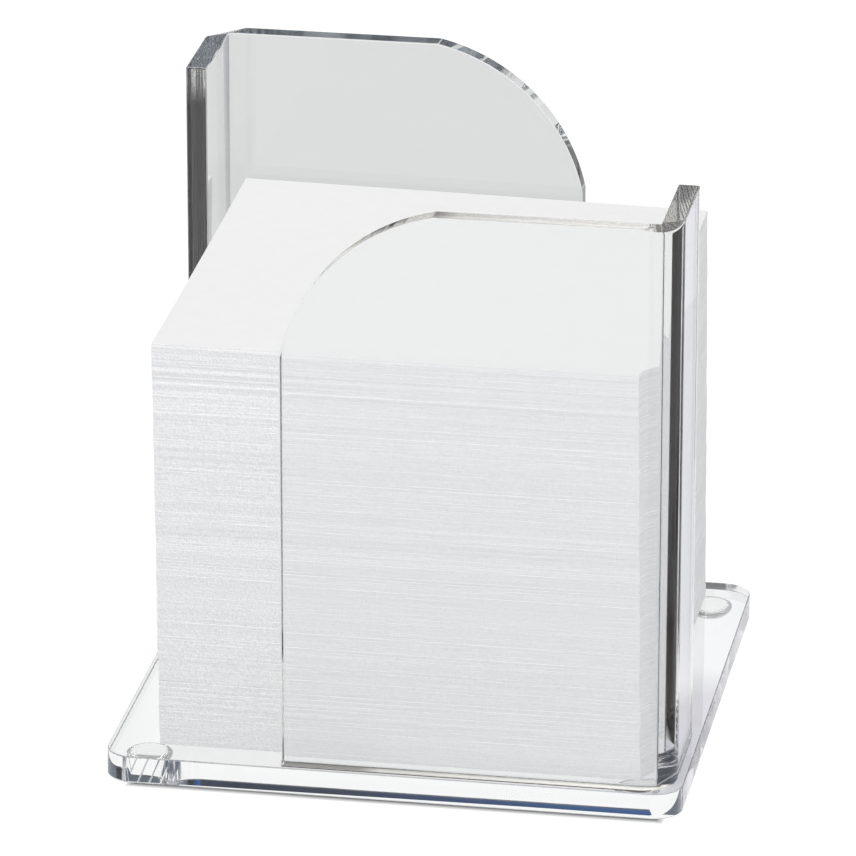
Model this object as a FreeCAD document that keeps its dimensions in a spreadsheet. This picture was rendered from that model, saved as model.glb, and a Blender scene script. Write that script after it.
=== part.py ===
"""Clear acrylic holder for a block of loose memo sheets.

Two corner walls, each one sheet bent to an L, stand on a rounded base plate at opposite
corners. They are the same part, turned half a turn about the vertical axis. Frame: +X to
the right, +Y to the back, +Z up, origin on the desk under the middle of the base plate.
"""
import FreeCAD
import Part
import math
import os
import Sketcher

os.makedirs("parts", exist_ok=True)
doc = FreeCAD.newDocument("memo_holder")

# ---------------------------------------------------------------- driving dimensions (mm)
DIMENSIONS = [
    ("plate_width", 108.0),
    ("plate_depth", 104.0),
    ("plate_thickness", 5.0),
    ("plate_corner_radius", 5.5),
    ("plate_edge_bevel", 0.4),
    ("foot_diameter", 8.6),
    ("foot_height", 2.2),
    ("foot_tip_diameter", 3.6),
    ("foot_inset", 7.5),
    ("foot_stray", 1.3),
    ("wall_thickness", 4.0),
    ("wall_height", 109.0),
    ("long_leg", 73.0),
    ("short_leg", 26.0),
    ("sweep_radius", 36.8),
    ("sweep_setback", 36.0),
    ("bend_inner_radius", 1.2),
    ("bend_outer_radius", 6.0),
    ("swell_height", 0.6),
    ("swell_radius", 30.0),
    ("wall_edge_bevel", 0.3),
    ("side_setback", 1.3),
    ("front_setback", 0.6),
    ("cement_thickness", 0.15),
    ("sheet_size", 90.0),
    ("sheet_thickness", 0.12),
    ("stack_height", 79.0),
    ("stack_lean_left", 0.8),
    ("stack_lean_back", 0.8),
    ("stack_wander", 0.12),
    ("stack_right_of_middle", 0.5),
    ("stack_back_of_middle", 0.2),
]
sheet = doc.addObject("Spreadsheet::Sheet", "Sizes")
for row, (alias, value) in enumerate(DIMENSIONS, start=1):
    sheet.set("A%d" % row, alias)
    sheet.set("B%d" % row, str(value))
    sheet.setAlias("B%d" % row, alias)
doc.recompute()


def size(alias):
    """A driving dimension as the sheet holds it."""
    return float(sheet.get(alias))


def origin_plane(body, role):
    """One of a body's own origin planes."""
    for feature in body.Origin.OriginFeatures:
        if feature.Role == role:
            return feature
    raise ValueError(role)


def new_body(label):
    body = doc.addObject("PartDesign::Body", label)
    body.Label = label
    return body


def new_sketch(body, role, name):
    """An empty sketch on one of the body's origin planes."""
    sketch = body.newObject("Sketcher::SketchObject", name)
    sketch.AttachmentSupport = [(origin_plane(body, role), "")]
    sketch.MapMode = "FlatFace"
    return sketch


def point(x, y):
    return FreeCAD.Vector(x, y, 0)


def line(sketch, start, end):
    return sketch.addGeometry(Part.LineSegment(point(*start), point(*end)), False)


def arc(sketch, centre, radius, first_degrees, last_degrees):
    """An arc drawn anticlockwise from the first to the last angle."""
    circle = Part.Circle(point(*centre), FreeCAD.Vector(0, 0, 1), radius)
    first = math.radians(first_degrees)
    last = math.radians(last_degrees)
    return sketch.addGeometry(Part.ArcOfCircle(circle, first, last), False)


def constrain(sketch, *arguments, to=None):
    """Add a constraint and, where a formula is given, bind it to the sheet."""
    index = sketch.addConstraint(Sketcher.Constraint(*arguments))
    if to is not None:
        sketch.setExpression("Constraints[%d]" % index, to)
    return index


START = 1
END = 2
CENTRE = 3
ORIGIN = (-1, 1)


# ---------------------------------------------------------------- base plate
def make_base_plate():
    """A slab with rounded corners, its rims scraped to a fine bevel and polished."""
    body = new_body("base_plate")
    sketch = new_sketch(body, "XY_Plane", "plate_outline")
    half_x = size("plate_width") / 2
    half_y = size("plate_depth") / 2
    radius = size("plate_corner_radius")
    flat_x = half_x - radius
    flat_y = half_y - radius
    front = line(sketch, (-flat_x, -half_y), (flat_x, -half_y))
    front_right = arc(sketch, (flat_x, -flat_y), radius, 270, 360)
    right = line(sketch, (half_x, -flat_y), (half_x, flat_y))
    back_right = arc(sketch, (flat_x, flat_y), radius, 0, 90)
    back = line(sketch, (flat_x, half_y), (-flat_x, half_y))
    back_left = arc(sketch, (-flat_x, flat_y), radius, 90, 180)
    left = line(sketch, (-half_x, flat_y), (-half_x, -flat_y))
    front_left = arc(sketch, (-flat_x, -flat_y), radius, 180, 270)
    outline = [front, front_right, right, back_right, back, back_left, left, front_left]
    for here, after in zip(outline, outline[1:] + outline[:1]):
        constrain(sketch, "Tangent", here, END, after, START)
    for corner in (back_right, back_left, front_left):
        constrain(sketch, "Equal", front_right, corner)
    constrain(sketch, "Horizontal", front)
    constrain(sketch, "Vertical", right)
    constrain(sketch, "Radius", front_right, radius, to="Sizes.plate_corner_radius")
    constrain(sketch, "DistanceX", *ORIGIN, front, END, flat_x,
              to="Sizes.plate_width / 2 - Sizes.plate_corner_radius")
    constrain(sketch, "DistanceX", front, START, *ORIGIN, flat_x,
              to="Sizes.plate_width / 2 - Sizes.plate_corner_radius")
    constrain(sketch, "DistanceY", front, END, *ORIGIN, half_y, to="Sizes.plate_depth / 2")
    constrain(sketch, "DistanceY", *ORIGIN, back, START, half_y, to="Sizes.plate_depth / 2")
    slab = body.newObject("PartDesign::Pad", "plate_slab")
    slab.Profile = sketch
    slab.setExpression("Length", "Sizes.plate_thickness")
    doc.recompute()
    rims = []
    for number, edge in enumerate(slab.Shape.Edges, start=1):
        box = edge.BoundBox
        if box.ZLength < 1e-6:
            rims.append("Edge%d" % number)
    bevel = body.newObject("PartDesign::Chamfer", "plate_bevel")
    bevel.Base = (slab, rims)
    bevel.setExpression("Size", "Sizes.plate_edge_bevel")
    body.setExpression("Placement.Base.z", "Sizes.foot_height")
    return body


# ---------------------------------------------------------------- corner walls
def wall_outline(body, name):
    """The L of a bent sheet, seen from above, in the frame of the front right corner.

    Its outer faces lie on the front and side planes. The outer face swells past the front
    plane just before the bend, as a sheet does that is softened along a line and folded:
    an arc leaves the plane outwards and meets the larger bend arc at an inflection.
    """
    sketch = new_sketch(body, "XY_Plane", name)
    thick = size("wall_thickness")
    side = size("plate_width") / 2 - size("side_setback")
    front = -size("plate_depth") / 2 + size("front_setback")
    inner = size("bend_inner_radius")
    outer = size("bend_outer_radius")
    swell = size("swell_height")
    flare = size("swell_radius")
    end_x = side - size("long_leg")
    end_y = front + size("short_leg")
    bend_x = side - outer
    bend_y = front - swell + outer
    run = math.sqrt((flare + outer) ** 2 - (flare + outer - swell) ** 2)
    flare_x = bend_x - run
    turn = math.degrees(math.asin(run / (flare + outer)))
    meet_x = flare_x + flare * math.sin(math.radians(turn))
    meet_y = front - flare + flare * math.cos(math.radians(turn))
    inner_x = side - thick - inner
    inner_y = front + thick + inner

    front_face = line(sketch, (end_x, front), (flare_x, front))
    flare_arc = arc(sketch, (flare_x, front - flare), flare, 90 - turn, 90)
    bend_arc = arc(sketch, (bend_x, bend_y), outer, 270 - turn, 360)
    side_face = line(sketch, (side, bend_y), (side, end_y))
    short_end = line(sketch, (side, end_y), (side - thick, end_y))
    inner_side = line(sketch, (side - thick, end_y), (side - thick, inner_y))
    inner_bend = arc(sketch, (inner_x, inner_y), inner, 270, 360)
    inner_front = line(sketch, (inner_x, front + thick), (end_x, front + thick))
    long_end = line(sketch, (end_x, front + thick), (end_x, front))

    constrain(sketch, "Tangent", front_face, END, flare_arc, END)
    constrain(sketch, "Tangent", flare_arc, START, bend_arc, START)
    constrain(sketch, "Tangent", bend_arc, END, side_face, START)
    constrain(sketch, "Coincident", side_face, END, short_end, START)
    constrain(sketch, "Coincident", short_end, END, inner_side, START)
    constrain(sketch, "Tangent", inner_side, END, inner_bend, END)
    constrain(sketch, "Tangent", inner_bend, START, inner_front, START)
    constrain(sketch, "Coincident", inner_front, END, long_end, START)
    constrain(sketch, "Coincident", long_end, END, front_face, START)
    constrain(sketch, "Horizontal", front_face)
    constrain(sketch, "Vertical", side_face)
    constrain(sketch, "Horizontal", short_end)
    constrain(sketch, "Vertical", inner_side)
    constrain(sketch, "Horizontal", inner_front)
    constrain(sketch, "Vertical", long_end)
    constrain(sketch, "Radius", flare_arc, flare, to="Sizes.swell_radius")
    constrain(sketch, "Radius", bend_arc, outer, to="Sizes.bend_outer_radius")
    constrain(sketch, "Radius", inner_bend, inner, to="Sizes.bend_inner_radius")
    constrain(sketch, "DistanceX", short_end, END, short_end, START, thick,
              to="Sizes.wall_thickness")
    constrain(sketch, "DistanceY", long_end, END, long_end, START, thick,
              to="Sizes.wall_thickness")
    constrain(sketch, "DistanceX", *ORIGIN, side_face, END, side,
              to="Sizes.plate_width / 2 - Sizes.side_setback")
    constrain(sketch, "DistanceY", front_face, START, *ORIGIN, -front,
              to="Sizes.plate_depth / 2 - Sizes.front_setback")
    constrain(sketch, "DistanceX", front_face, START, side_face, END, side - end_x,
              to="Sizes.long_leg")
    constrain(sketch, "DistanceY", front_face, START, side_face, END, end_y - front,
              to="Sizes.short_leg")
    constrain(sketch, "DistanceY", bend_arc, CENTRE, *ORIGIN, -bend_y,
              to="Sizes.plate_depth / 2 - Sizes.front_setback"
                 " + Sizes.swell_height - Sizes.bend_outer_radius")
    doc.recompute()
    return sketch


def quarter_sweep(body, name):
    """The waste outside the round that the long leg's free top corner is cut to.

    The round's centre stands a little nearer to the two sawn edges than its radius, so it
    meets each of them at a faint corner instead of running into it.
    """
    sketch = new_sketch(body, "XZ_Plane", name)
    spare = 2.0
    side = size("plate_width") / 2 - size("side_setback")
    end_x = side - size("long_leg")
    radius = size("sweep_radius")
    setback = size("sweep_setback")
    top = size("wall_height")
    centre = (end_x + setback, top - setback)
    half_chord = math.sqrt(radius ** 2 - setback ** 2)
    corner = math.degrees(math.asin(setback / radius))
    high = (centre[0] - half_chord, top)
    low = (end_x, centre[1] + half_chord)
    round_arc = arc(sketch, centre, radius, corner + 2 * (90 - corner), 90 + corner)
    above = line(sketch, high, (high[0], top + spare))
    over = line(sketch, (high[0], top + spare), (end_x - spare, top + spare))
    beside = line(sketch, (end_x - spare, top + spare), (end_x - spare, low[1]))
    under = line(sketch, (end_x - spare, low[1]), low)
    constrain(sketch, "Coincident", round_arc, START, above, START)
    constrain(sketch, "Coincident", above, END, over, START)
    constrain(sketch, "Coincident", over, END, beside, START)
    constrain(sketch, "Coincident", beside, END, under, START)
    constrain(sketch, "Coincident", under, END, round_arc, END)
    constrain(sketch, "Vertical", above)
    constrain(sketch, "Horizontal", over)
    constrain(sketch, "Vertical", beside)
    constrain(sketch, "Horizontal", under)
    constrain(sketch, "Radius", round_arc, radius, to="Sizes.sweep_radius")
    constrain(sketch, "DistanceX", *ORIGIN, round_arc, CENTRE, centre[0],
              to="Sizes.plate_width / 2 - Sizes.side_setback - Sizes.long_leg"
                 " + Sizes.sweep_setback")
    constrain(sketch, "DistanceY", *ORIGIN, round_arc, CENTRE, centre[1],
              to="Sizes.wall_height - Sizes.sweep_setback")
    constrain(sketch, "DistanceX", round_arc, END, round_arc, CENTRE, setback,
              to="Sizes.sweep_setback")
    constrain(sketch, "DistanceY", round_arc, CENTRE, round_arc, START, setback,
              to="Sizes.sweep_setback")
    constrain(sketch, "DistanceY", above, START, above, END, spare)
    constrain(sketch, "DistanceX", under, START, under, END, spare)
    return sketch


def turn_half(body):
    """Turn a front right corner piece to the rear left corner."""
    body.Placement.Rotation = FreeCAD.Rotation(FreeCAD.Vector(0, 0, 1), 180)


def make_corner_wall(label, rear):
    body = new_body(label)
    blank = body.newObject("PartDesign::Pad", label + "_sheet")
    blank.Profile = wall_outline(body, label + "_outline")
    blank.setExpression("Length", "Sizes.wall_height")
    doc.recompute()
    trim = body.newObject("PartDesign::Pocket", label + "_sweep")
    trim.Profile = quarter_sweep(body, label + "_sweep_outline")
    trim.Type = "ThroughAll"
    trim.SideType = "Symmetric"
    doc.recompute()
    if trim.Shape.Volume > blank.Shape.Volume - 1.0:
        raise ValueError("the quarter round cut nothing from " + label)
    # every sawn edge above the cement is bevelled; the softened bend has no upright edge
    top = size("wall_height")
    sawn = []
    for number, edge in enumerate(trim.Shape.Edges, start=1):
        box = edge.BoundBox
        at_top = box.ZMin > top - 1e-6
        on_sweep = box.ZLength > 1.0 and box.XLength > 1.0
        at_long_end = box.ZLength > 1.0 and box.XMax < 0
        at_short_end = box.ZLength > 1.0 and box.XMin > 0 and box.YMin > -size("plate_depth") / 4
        if at_top or on_sweep or at_long_end or at_short_end:
            sawn.append("Edge%d" % number)
    bevel = body.newObject("PartDesign::Chamfer", label + "_bevel")
    bevel.Base = (trim, sawn)
    bevel.setExpression("Size", "Sizes.wall_edge_bevel")
    if rear:
        turn_half(body)
    body.setExpression(
        "Placement.Base.z",
        "Sizes.foot_height + Sizes.plate_thickness + Sizes.cement_thickness")
    return body


def make_cement(label, rear):
    """The film of solvent cement between a wall's foot and the plate."""
    body = new_body(label)
    film = body.newObject("PartDesign::Pad", label + "_film")
    film.Profile = wall_outline(body, label + "_outline")
    film.setExpression("Length", "Sizes.cement_thickness")
    if rear:
        turn_half(body)
    body.setExpression("Placement.Base.z", "Sizes.foot_height + Sizes.plate_thickness")
    return body


# ---------------------------------------------------------------- feet
def make_foot(label, side_sign, depth_sign, stray=0):
    """A clear bumper: a turned dome with a small flat tip, stuck under the plate by hand.

    stray is how many times foot_stray it lies to the right of its place.
    """
    body = new_body(label)
    sketch = new_sketch(body, "XZ_Plane", label + "_profile")
    radius = size("foot_diameter") / 2
    tip = size("foot_tip_diameter") / 2
    height = size("foot_height")
    lip = height / 4
    # the dome's arc meets the tip's rim and the top of a short upright lip
    rise = height - lip
    run = radius - tip
    dome_radius = (run * run + rise * rise) / (2 * rise)
    sweep = math.degrees(math.asin(run / dome_radius))
    axis_line = line(sketch, (0, 0), (0, height))
    top_line = line(sketch, (0, height), (radius, height))
    lip_line = line(sketch, (radius, height), (radius, height - lip))
    dome = arc(sketch, (tip, dome_radius), dome_radius, 270, 270 + sweep)
    tip_line = line(sketch, (tip, 0), (0, 0))
    constrain(sketch, "Coincident", axis_line, END, top_line, START)
    constrain(sketch, "Coincident", top_line, END, lip_line, START)
    constrain(sketch, "Coincident", lip_line, END, dome, END)
    constrain(sketch, "Tangent", dome, START, tip_line, START)
    constrain(sketch, "Coincident", tip_line, END, axis_line, START)
    constrain(sketch, "Coincident", axis_line, START, *ORIGIN)
    constrain(sketch, "Vertical", axis_line)
    constrain(sketch, "Horizontal", top_line)
    constrain(sketch, "Vertical", lip_line)
    constrain(sketch, "Horizontal", tip_line)
    constrain(sketch, "DistanceY", axis_line, START, axis_line, END, height,
              to="Sizes.foot_height")
    constrain(sketch, "DistanceX", top_line, START, top_line, END, radius,
              to="Sizes.foot_diameter / 2")
    constrain(sketch, "DistanceX", tip_line, END, tip_line, START, tip,
              to="Sizes.foot_tip_diameter / 2")
    constrain(sketch, "DistanceY", lip_line, END, lip_line, START, lip,
              to="Sizes.foot_height / 4")
    turned = body.newObject("PartDesign::Revolution", label + "_turned")
    turned.Profile = sketch
    turned.ReferenceAxis = (sketch, ["V_Axis"])
    turned.Angle = 360
    body.setExpression("Placement.Base.x",
                       "%d * (Sizes.plate_width / 2 - Sizes.foot_inset)"
                       " + %d * Sizes.foot_stray" % (side_sign, stray))
    body.setExpression("Placement.Base.y",
                       "%d * (Sizes.plate_depth / 2 - Sizes.foot_inset)" % depth_sign)
    return body


# ---------------------------------------------------------------- memo sheets
BUNDLES = 12


def make_memo_stack():
    """The block of loose sheets, as bundles that wander a little from one to the next.

    The block leans to the left and back as it rises, and each bundle strays from that lean
    by a slow wave, so that no two edges line up.
    """
    bundles = []
    for index in range(BUNDLES):
        bundle = doc.addObject("Part::Box", "bundle_%02d" % (index + 1))
        bundle.setExpression("Length", "Sizes.sheet_size")
        bundle.setExpression("Width", "Sizes.sheet_size")
        bundle.setExpression("Height", "Sizes.stack_height / %d" % BUNDLES)
        rise = (index + 0.5) / BUNDLES
        stray_x = math.sin(2.4 * index)
        stray_y = math.cos(1.7 * index)
        bundle.setExpression(
            "Placement.Base.x",
            "Sizes.stack_right_of_middle - Sizes.sheet_size / 2"
            " - %.4f * Sizes.stack_lean_left + %.4f * Sizes.stack_wander" % (rise, stray_x))
        bundle.setExpression(
            "Placement.Base.y",
            "Sizes.stack_back_of_middle - Sizes.sheet_size / 2"
            " + %.4f * Sizes.stack_lean_back + %.4f * Sizes.stack_wander" % (rise, stray_y))
        bundle.setExpression(
            "Placement.Base.z",
            "Sizes.foot_height + Sizes.plate_thickness"
            " + %d * Sizes.stack_height / %d" % (index, BUNDLES))
        bundles.append(bundle)
    stack = doc.addObject("Part::Compound", "memo_stack")
    stack.Label = "memo_stack"
    stack.Links = bundles
    return stack


def make_top_sheet():
    """The uppermost sheet, loose on the block."""
    top = doc.addObject("Part::Box", "top_sheet")
    top.Label = "top_sheet"
    top.setExpression("Length", "Sizes.sheet_size")
    top.setExpression("Width", "Sizes.sheet_size")
    top.setExpression("Height", "Sizes.sheet_thickness")
    top.setExpression(
        "Placement.Base.x",
        "Sizes.stack_right_of_middle - Sizes.sheet_size / 2 - Sizes.stack_lean_left")
    top.setExpression(
        "Placement.Base.y",
        "Sizes.stack_back_of_middle - Sizes.sheet_size / 2 + Sizes.stack_lean_back")
    top.setExpression(
        "Placement.Base.z",
        "Sizes.foot_height + Sizes.plate_thickness + Sizes.stack_height")
    return top


# ---------------------------------------------------------------- assembly
pieces = [
    make_base_plate(),
    make_corner_wall("front_corner_wall", rear=False),
    make_corner_wall("rear_corner_wall", rear=True),
    make_cement("front_wall_cement", rear=False),
    make_cement("rear_wall_cement", rear=True),
    make_foot("foot_front_left", -1, -1),
    make_foot("foot_front_right", 1, -1, stray=-1),
    make_foot("foot_rear_left", -1, 1),
    make_foot("foot_rear_right", 1, 1),
    make_memo_stack(),
    make_top_sheet(),
]
doc.recompute()

for item in doc.Objects:
    if "Invalid" in item.State or "Error" in item.State:
        raise RuntimeError("%s failed: %s" % (item.Label, item.State))
for piece in pieces:
    if piece.Shape.isNull() or not piece.Shape.isValid():
        raise RuntimeError(piece.Label + " has no valid shape")
for piece in pieces:
    piece.Shape.exportStep("parts/%s.step" % piece.Label)
    box = piece.Shape.BoundBox
    print("%-20s solids %2d  volume %9.1f  x %6.2f..%6.2f  y %6.2f..%6.2f  z %6.2f..%6.2f" % (
        piece.Label, len(piece.Shape.Solids), piece.Shape.Volume,
        box.XMin, box.XMax, box.YMin, box.YMax, box.ZMin, box.ZMax))
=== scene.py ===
"""Looks of the clear memo sheet holder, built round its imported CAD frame."""

import math

import bpy
import numpy as np
from mathutils import Matrix, Vector


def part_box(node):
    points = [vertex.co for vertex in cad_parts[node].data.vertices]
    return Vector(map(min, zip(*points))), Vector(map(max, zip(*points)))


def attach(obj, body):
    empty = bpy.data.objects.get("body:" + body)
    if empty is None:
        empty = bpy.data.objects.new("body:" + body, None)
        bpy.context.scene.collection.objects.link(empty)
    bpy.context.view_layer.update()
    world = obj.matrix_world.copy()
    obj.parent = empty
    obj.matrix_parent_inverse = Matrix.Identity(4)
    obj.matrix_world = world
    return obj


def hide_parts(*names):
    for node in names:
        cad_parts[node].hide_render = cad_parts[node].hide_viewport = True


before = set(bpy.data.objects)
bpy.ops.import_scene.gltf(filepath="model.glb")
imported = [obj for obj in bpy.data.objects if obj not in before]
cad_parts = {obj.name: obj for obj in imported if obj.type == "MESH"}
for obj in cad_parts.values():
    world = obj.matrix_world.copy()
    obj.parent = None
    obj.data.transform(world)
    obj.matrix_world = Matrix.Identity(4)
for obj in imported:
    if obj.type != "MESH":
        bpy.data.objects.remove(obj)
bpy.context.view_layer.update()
MM = 0.001

# ------------------------------------------------------------------ base plate
# A slab of clear cast acrylic, 5 mm thick, cut out with rounded corners. Its rims are
# scraped to a fine bevel and polished clear, so each rim draws a thin light and dark line.
PLATE_BEVEL = 0.2 * MM
PLATE_CORNER = 5.5 * MM
CORNER_STEPS = 14
SHARP_EDGE = math.radians(40)
# The cut edges aren't quite square. Each lean or height goes from its left value to its
# right value between two places along the edge.
FRONT_LEAN_X, FRONT_LEAN = [-30 * MM, -8 * MM], [0.46 * MM, 0.095 * MM]
REAR_LEAN_X, REAR_LEAN = [-48 * MM, -26 * MM], [0.42 * MM, 0.05 * MM]
SQUARE_FOOT_X, SQUARE_FOOT = [-16 * MM, 0], [0.3 * MM, 0.9 * MM]


def linear(hex_colour):
    """The linear colour, with alpha, of an sRGB hex value."""
    parts = np.array([int(hex_colour[i:i + 2], 16) for i in (1, 3, 5)]) / 255
    curve = np.where(parts <= 0.04045, parts / 12.92, ((parts + 0.055) / 1.055) ** 2.4)
    return (*curve.tolist(), 1.0)


def add_node(tree, kind, inputs=None, **settings):
    """Add a node, apply its settings and fill its inputs with values or linked sockets."""
    node = tree.nodes.new(kind)
    for name, value in settings.items():
        setattr(node, name, value)
    for socket, value in (inputs or {}).items():
        if isinstance(value, bpy.types.NodeSocket):
            tree.links.new(value, node.inputs[socket])
        else:
            node.inputs[socket].default_value = value
    return node


def new_material(name):
    """An empty node material and its output node."""
    material = bpy.data.materials.new(name)
    material.use_nodes = True
    material.node_tree.nodes.clear()
    output = add_node(material.node_tree, "ShaderNodeOutputMaterial")
    return material, material.node_tree, output


def let_lamps_through(tree, output, clear_shader, passed):
    """Show clear_shader to the eye, and let light pass straight through to what is behind.

    Rays that gather light for dull surfaces, and rays towards a lamp, meet an open surface of
    the passed colour, because a surface that bends light stops a straight ray to a lamp.
    """
    path = add_node(tree, "ShaderNodeLightPath")
    open_shader = add_node(tree, "ShaderNodeBsdfTransparent", {"Color": passed})
    for_light = add_node(tree, "ShaderNodeMixShader", {
        0: path.outputs["Is Diffuse Ray"], 1: clear_shader, 2: open_shader.outputs[0]})
    for_shadow = add_node(tree, "ShaderNodeMixShader", {
        0: path.outputs["Is Shadow Ray"], 1: for_light.outputs[0], 2: open_shader.outputs[0]})
    tree.links.new(for_shadow.outputs[0], output.inputs["Surface"])


def cast_acrylic(name, ripple_mm, ripple_height_mm):
    """Clear cast PMMA: glass-clear, index 1.49, its faces true but for a faint long ripple."""
    material, tree, output = new_material(name)
    place = add_node(tree, "ShaderNodeTexCoord")
    ripple = add_node(tree, "ShaderNodeTexNoise", {
        "Vector": place.outputs["Object"], "Scale": 1 / (ripple_mm * MM), "Detail": 1.0})
    bump = add_node(tree, "ShaderNodeBump", {
        "Height": ripple.outputs["Fac"], "Strength": 1.0, "Distance": ripple_height_mm * MM})
    sheet = add_node(tree, "ShaderNodeBsdfPrincipled", {
        "Base Color": linear("#FBFCFC"), "Roughness": 0.0, "IOR": 1.49,
        "Transmission Weight": 1.0, "Normal": bump.outputs["Normal"]})
    let_lamps_through(tree, output, sheet.outputs[0], linear("#FEFEFE"))
    return material


def ring_solid(name, rings):
    """A closed mesh from rings of points, each ring anticlockwise from above, low to high.

    A point is joined to the next one on its ring and to the same two on the ring above, as
    one quad. The first and last rings are capped by one face each.
    """
    levels, around = rings.shape[:2]
    here = np.arange(around)
    after = (here + 1) % around
    low = np.arange(levels - 1)[:, None] * around
    bands = np.stack([low + here, low + after, low + around + after, low + around + here], 2)
    faces = bands.reshape(-1, 4).tolist()
    faces.append(here[::-1].tolist())
    faces.append(((levels - 1) * around + here).tolist())
    mesh = bpy.data.meshes.new(name)
    mesh.from_pydata(rings.reshape(-1, 3).tolist(), [], faces)
    mesh.polygons.foreach_set("use_smooth", np.ones(len(faces), bool))
    mesh.update()
    piece = bpy.data.objects.new(name, mesh)
    bpy.context.scene.collection.objects.link(piece)
    return piece


def polish_edges(piece, width, steps):
    """Round every sharp edge, and let the large faces keep their own flat normals."""
    bevel = piece.modifiers.new("polished_edges", "BEVEL")
    bevel.width = width
    bevel.segments = steps
    bevel.limit_method = "ANGLE"
    bevel.angle_limit = SHARP_EDGE
    bevel.use_clamp_overlap = False
    normals = piece.modifiers.new("flat_faces", "WEIGHTED_NORMAL")
    normals.keep_sharp = False


def rounded_rectangle(low, high, radius, steps):
    """Points anticlockwise round a rectangle with quarter-circle corners of one radius.

    Each corner's centre lies one radius in from both sides, and its points are that centre
    plus the radius times the cosine and sine of the angle.
    """
    turn = np.linspace(0, math.pi / 2, steps)
    start = np.array([-math.pi / 2, 0, math.pi / 2, math.pi])[:, None]
    angle = start + turn
    centre_x = np.array([high.x, high.x, low.x, low.x]) + radius * np.array([-1, -1, 1, 1])
    centre_y = np.array([low.y, high.y, high.y, low.y]) + radius * np.array([1, -1, -1, 1])
    x = centre_x[:, None] + radius * np.cos(angle)
    y = centre_y[:, None] + radius * np.sin(angle)
    return np.stack([x.ravel(), y.ravel()], 1)


def stand_up(outline, heights):
    """The rings of an upright solid: one flat outline at each of the heights."""
    rings = np.empty((len(heights), len(outline), 3))
    rings[:, :, :2] = outline
    rings[:, :, 2] = np.asarray(heights)[:, None]
    return rings


plate_low, plate_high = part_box("base_plate")
plate_outline = rounded_rectangle(plate_low, plate_high, PLATE_CORNER, CORNER_STEPS)
plate_rings = stand_up(plate_outline, [plate_low.z, plate_low.z, plate_high.z])
across, along = plate_outline[:, 0], plate_outline[:, 1]
share = (along - plate_low.y) / (plate_high.y - plate_low.y)
front_lean = np.interp(across, FRONT_LEAN_X, FRONT_LEAN)
rear_lean = np.interp(across, REAR_LEAN_X, REAR_LEAN)
square_foot = np.interp(across, SQUARE_FOOT_X, SQUARE_FOOT)
# The front face leans back above an upright foot. The rear face leans in towards its foot.
plate_rings[1, :, 2] += square_foot
plate_rings[2, :, 1] += front_lean * (1 - share)
plate_rings[0, :, 1] -= rear_lean * share
plate_rings[1, :, 1] -= rear_lean * share * (1 - square_foot / (plate_high.z - plate_low.z))
plate = ring_solid("plate_slab", plate_rings)
polish_edges(plate, PLATE_BEVEL, steps=3)
plate.data.materials.append(
    cast_acrylic("cast_acrylic_plate", ripple_mm=35.0, ripple_height_mm=0.004))
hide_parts("base_plate")
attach(plate, "holder")

# ------------------------------------------------------------------ feet
# Four clear polyurethane bumpers, each cast in one with a flat tip, a dome round it and a
# short upright lip, and stuck under the plate. They are soft and glossy, and work like lenses.
FOOT_STEPS = 48
DOME_STEPS = 12
TIP_RADIUS = 1.8 * MM
LIP_SHARE = 0.25
RIM_POLISH = 0.15 * MM
# Between a bumper and the plate, so that no two surfaces coincide.
FOOT_GAP = 0.02 * MM


def bumper_rubber(name):
    """Clear polyurethane: index 1.5 and a soft gloss, so its dome bends light strongly."""
    material, tree, output = new_material(name)
    place = add_node(tree, "ShaderNodeTexCoord")
    haze = add_node(tree, "ShaderNodeTexNoise", {
        "Vector": place.outputs["Object"], "Scale": 1 / (0.8 * MM), "Detail": 2.0})
    rough = add_node(tree, "ShaderNodeMapRange", {
        "Value": haze.outputs["Fac"], "To Min": 0.0, "To Max": 0.03})
    body = add_node(tree, "ShaderNodeBsdfPrincipled", {
        "Base Color": linear("#FBFBF9"), "Roughness": rough.outputs[0], "IOR": 1.5,
        "Transmission Weight": 0.92})
    let_lamps_through(tree, output, body.outputs[0], linear("#F0F2F2"))
    return material


def dome_profile(radius, tip, height, lip, steps):
    """Radii and heights from the tip's rim up an arc to the lip, then up the lip.

    The arc leaves the flat tip level. Its radius is the sum of the squares of its run and
    rise, over twice the rise.
    """
    rise = height - lip
    run = radius - tip
    dome = (run * run + rise * rise) / (2 * rise)
    angle = np.linspace(0, math.asin(run / dome), steps)
    radii = np.append(tip + dome * np.sin(angle), radius)
    heights = np.append(dome - dome * np.cos(angle), height)
    return radii, heights


bumper_clear = bumper_rubber("polyurethane_bumper")
for foot in ("foot_front_left", "foot_front_right", "foot_rear_left", "foot_rear_right"):
    foot_low, foot_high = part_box(foot)
    middle = (foot_low + foot_high) / 2
    foot_height = foot_high.z - foot_low.z - FOOT_GAP
    radii, heights = dome_profile((foot_high.x - foot_low.x) / 2, TIP_RADIUS, foot_height,
                                  LIP_SHARE * foot_height, DOME_STEPS)
    angle = np.linspace(0, 2 * math.pi, FOOT_STEPS, endpoint=False)
    rings = np.empty((len(radii), FOOT_STEPS, 3))
    rings[:, :, 0] = middle.x + radii[:, None] * np.cos(angle)
    rings[:, :, 1] = middle.y + radii[:, None] * np.sin(angle)
    rings[:, :, 2] = foot_low.z + heights[:, None]
    bumper = ring_solid(foot.replace("foot", "bumper"), rings)
    polish_edges(bumper, RIM_POLISH, steps=2)
    bumper.data.materials.append(bumper_clear)
    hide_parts(foot)
    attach(bumper, "holder")

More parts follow.
